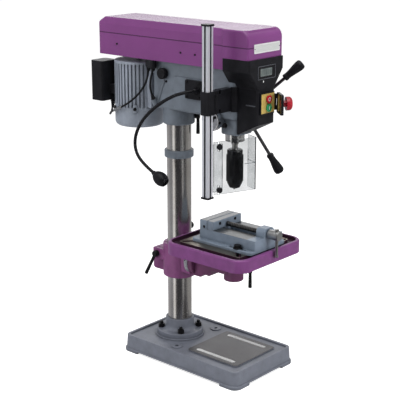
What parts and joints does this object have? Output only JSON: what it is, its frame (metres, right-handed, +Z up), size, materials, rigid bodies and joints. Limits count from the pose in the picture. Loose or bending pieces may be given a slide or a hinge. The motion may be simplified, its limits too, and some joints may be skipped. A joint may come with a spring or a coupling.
{
  "type": "pillar drill",
  "caption": "Bench pillar drill with tilting rimmed table, drill vice, stepped belt drive, geared quill feed, clear chuck guard and flexible lamp",
  "frame": {"origin": "midway between the two bench bolt holes, on the bench plane", "axes": "+Z up, -Y toward the operator, +X to the operator's right"},
  "size_m": [0.3418, 0.6695, 1.026],
  "materials": {
    "base_grey": "satin",
    "head_grey": "satin",
    "purple_paint": "satin",
    "bright_steel": "ground",
    "chrome_plate": "polished",
    "black_plastic": "fine grain",
    "black_oxide": "satin",
    "vice_grey": "satin",
    "motor_grey": "satin",
    "aluminium_raw": "satin",
    "yellow_plastic": "gloss",
    "red_plastic": "gloss",
    "green_plastic": "gloss",
    "clear_plastic": "clear",
    "lcd_window": "clear",
    "lead_rubber": "matte",
    "belt_rubber": "matte"
  },
  "bodies": {
    "frame": {"base_plate": "base_grey", "column_flange": "base_grey", "flange_bolts": "black_oxide", "column": "bright_steel", "rack_collar": "head_grey", "head_casting": "head_grey", "front_cover": "black_plastic", "display_lens": "lcd_window", "switch_plate": "yellow_plastic", "belt_tray": "purple_paint", "lamp_plate": "black_oxide", "lamp_gooseneck": "black_oxide", "lamp_head": "black_oxide", "spring_case": "chrome_plate", "guard_bracket": "black_plastic", "motor_lead": "lead_rubber", "head_lead": "lead_rubber", "drive_belt": "belt_rubber"},
    "rack": {"table_rack": "bright_steel"},
    "bracket": {"table_bracket": "purple_paint"},
    "crank": {"crank_shaft": "bright_steel", "crank_handle": "black_oxide"},
    "clamp": {"clamp_lever": "black_oxide"},
    "arm": {"table_arm": "purple_paint"},
    "table_lock": {"table_lock_lever": "black_oxide"},
    "table": {"table": "purple_paint", "vice_base": "vice_grey"},
    "vice_jaw": {"vice_jaw": "vice_grey"},
    "vice_screw": {"vice_screw": "bright_steel"},
    "tommy_bar": {"tommy_bar": "bright_steel"},
    "motor": {"motor_body": "motor_grey", "motor_shield": "motor_grey", "motor_bell": "motor_grey", "motor_plate": "head_grey", "capacitor_box": "black_plastic"},
    "rotor": {"motor_shaft": "bright_steel", "motor_pulley": "aluminium_raw"},
    "spindle_pulley": {"spindle_pulley": "aluminium_raw"},
    "quill": {"quill": "chrome_plate"},
    "spindle": {"spindle": "chrome_plate", "chuck_body": "black_oxide"},
    "chuck_sleeve": {"chuck_sleeve": "black_plastic"},
    "chuck_jaw_1": {"chuck_jaw_1": "bright_steel"},
    "chuck_jaw_2": {"chuck_jaw_2": "bright_steel"},
    "chuck_jaw_3": {"chuck_jaw_3": "bright_steel"},
    "feed": {"feed_shaft": "bright_steel", "feed_arms": "black_oxide", "feed_grips": "black_plastic"},
    "lid": {"belt_lid": "purple_paint"},
    "motor_lock": {"motor_lock_knob": "black_plastic"},
    "head_lock": {"head_lever": "black_oxide"},
    "guard_clamp": {"guard_clamp": "black_plastic"},
    "guard_post": {"guard_post": "aluminium_raw", "guard_fittings": "black_plastic", "guard_holder": "clear_plastic"},
    "shield": {"guard_shield": "clear_plastic"},
    "flap": {"switch_flap": "black_plastic"},
    "start": {"start_button": "green_plastic"},
    "stop": {"stop_button": "red_plastic"},
    "emergency": {"emergency_button": "red_plastic"}
  },
  "joints": [
    {"name": "table_swing", "type": "hinge", "parent": "frame", "child": "rack", "pos_m": [0, 0.069, 0.3], "axis": [0, 0, 1], "continuous": true},
    {"name": "table_lift", "type": "slide", "parent": "rack", "child": "bracket", "axis": [0, 0, 1], "range_m": [-0.125, 0.085]},
    {"name": "crank_turn", "type": "hinge", "parent": "bracket", "child": "crank", "pos_m": [0, 0.125, 0.272], "axis": [1, 0, 0], "range_deg": [-520, 360]},
    {"name": "clamp_lever_turn", "type": "hinge", "parent": "bracket", "child": "clamp", "pos_m": [-0.053, 0.12, 0.305], "axis": [1, 0, 0], "range_deg": [-45, 45]},
    {"name": "table_tilt", "type": "hinge", "parent": "bracket", "child": "arm", "pos_m": [0, -0.003, 0.3], "axis": [0, -1, 0], "range_deg": [-45, 45]},
    {"name": "table_lock_turn", "type": "hinge", "parent": "arm", "child": "table_lock", "pos_m": [0.0268, -0.17374, 0.3], "axis": [0.682, -0.7314, 0], "range_deg": [-60, 60]},
    {"name": "table_turn", "type": "hinge", "parent": "arm", "child": "table", "pos_m": [0, -0.145, 0.37], "axis": [0, 0, 1], "range_deg": [-15, 15]},
    {"name": "vice_jaw_slide", "type": "slide", "parent": "table", "child": "vice_jaw", "axis": [0, -1, 0], "range_m": [0, 0.06]},
    {"name": "vice_screw_turn", "type": "hinge", "parent": "vice_jaw", "child": "vice_screw", "pos_m": [0, -0.2, 0.438], "axis": [0, -1, 0], "range_deg": [0, 3610]},
    {"name": "tommy_bar_slide", "type": "slide", "parent": "vice_screw", "child": "tommy_bar", "axis": [0, 0, 1], "range_m": [0, 0.043]},
    {"name": "motor_slide", "type": "slide", "parent": "frame", "child": "motor", "axis": [0, 1, 0], "range_m": [-0.012, 0.004], "deforming": ["drive_belt", "motor_lead"]},
    {"name": "motor_spin", "type": "hinge", "parent": "motor", "child": "rotor", "pos_m": [0, 0.229, 0.8], "axis": [0, 0, 1], "continuous": true},
    {"name": "spindle_pulley_spin", "type": "hinge", "parent": "frame", "child": "spindle_pulley", "pos_m": [0, -0.145, 0.93], "axis": [0, 0, 1], "continuous": true},
    {"name": "quill_feed", "type": "slide", "parent": "frame", "child": "quill", "axis": [0, 0, 1], "range_m": [-0.08, 0], "stiffness_N_per_m": 900, "springref_m": 0.07},
    {"name": "spindle_spin", "type": "hinge", "parent": "quill", "child": "spindle", "pos_m": [0, -0.145, 0.7], "axis": [0, 0, 1], "continuous": true},
    {"name": "feed_turn", "type": "hinge", "parent": "frame", "child": "feed", "pos_m": [0, -0.1081, 0.75], "axis": [1, 0, 0], "range_deg": [0, 328]},
    {"name": "chuck_turn", "type": "hinge", "parent": "spindle", "child": "chuck_sleeve", "pos_m": [0, -0.145, 0.61], "axis": [0, 0, 1], "range_deg": [0, 540]},
    {"name": "lid_hinge", "type": "hinge", "parent": "frame", "child": "lid", "pos_m": [0, 0.34, 0.962], "axis": [-1, 0, 0], "range_deg": [0, 75]},
    {"name": "motor_lock_turn", "type": "hinge", "parent": "frame", "child": "motor_lock", "pos_m": [-0.05, 0.081, 0.86], "axis": [1, 0, 0], "range_deg": [-90, 90]},
    {"name": "head_lock_turn", "type": "hinge", "parent": "frame", "child": "head_lock", "pos_m": [0.02847, 0.03122, 0.732], "axis": [0.6018, -0.7986, 0], "range_deg": [-60, 60]},
    {"name": "guard_swing", "type": "hinge", "parent": "frame", "child": "guard_clamp", "pos_m": [-0.104, -0.159, 0.81], "axis": [0, 0, 1], "range_deg": [-80, 0]},
    {"name": "guard_height", "type": "slide", "parent": "guard_clamp", "child": "guard_post", "axis": [0, 0, 1], "range_m": [-0.095, 0]},
    {"name": "shield_slide", "type": "slide", "parent": "guard_post", "child": "shield", "axis": [0, 0, 1], "range_m": [-0.01, 0]},
    {"name": "flap_hinge", "type": "hinge", "parent": "frame", "child": "flap", "pos_m": [0.0338, -0.2583, 0.808], "axis": [0, 0, 1], "range_deg": [-50, 53]},
    {"name": "start_press", "type": "slide", "parent": "frame", "child": "start", "axis": [0, 1, 0], "range_m": [0, 0.003], "stiffness_N_per_m": 800},
    {"name": "stop_press", "type": "slide", "parent": "frame", "child": "stop", "axis": [0, 1, 0], "range_m": [0, 0.003], "stiffness_N_per_m": 800},
    {"name": "emergency_press", "type": "slide", "parent": "flap", "child": "emergency", "axis": [-0.766, 0.6428, 0], "range_m": [0, 0.003], "stiffness_N_per_m": 1200},
    {"name": "chuck_jaw_1_slide", "type": "slide", "parent": "spindle", "child": "chuck_jaw_1", "axis": [0, 0.2756, 0.9613], "range_m": [0, 0.0101]},
    {"name": "chuck_jaw_2_slide", "type": "slide", "parent": "spindle", "child": "chuck_jaw_2", "axis": [-0.2387, -0.1378, 0.9613], "range_m": [0, 0.0101]},
    {"name": "chuck_jaw_3_slide", "type": "slide", "parent": "spindle", "child": "chuck_jaw_3", "axis": [0.2387, -0.1378, 0.9613], "range_m": [0, 0.0101]}
  ],
  "couplings": [
    {"joint": "crank_turn", "follows": "table_lift", "rad_per_m": 71.429},
    {"joint": "vice_screw_turn", "follows": "vice_jaw_slide", "rad_per_m": 1047.2},
    {"joint": "spindle_pulley_spin", "follows": "motor_spin", "ratio": 1},
    {"joint": "spindle_spin", "follows": "motor_spin", "ratio": 1},
    {"joint": "feed_turn", "follows": "quill_feed", "rad_per_m": -71.429},
    {"joint": "chuck_jaw_1_slide", "follows": "chuck_turn", "m_per_rad": 0.001061},
    {"joint": "chuck_jaw_2_slide", "follows": "chuck_turn", "m_per_rad": 0.001061},
    {"joint": "chuck_jaw_3_slide", "follows": "chuck_turn", "m_per_rad": 0.001061}
  ]
}
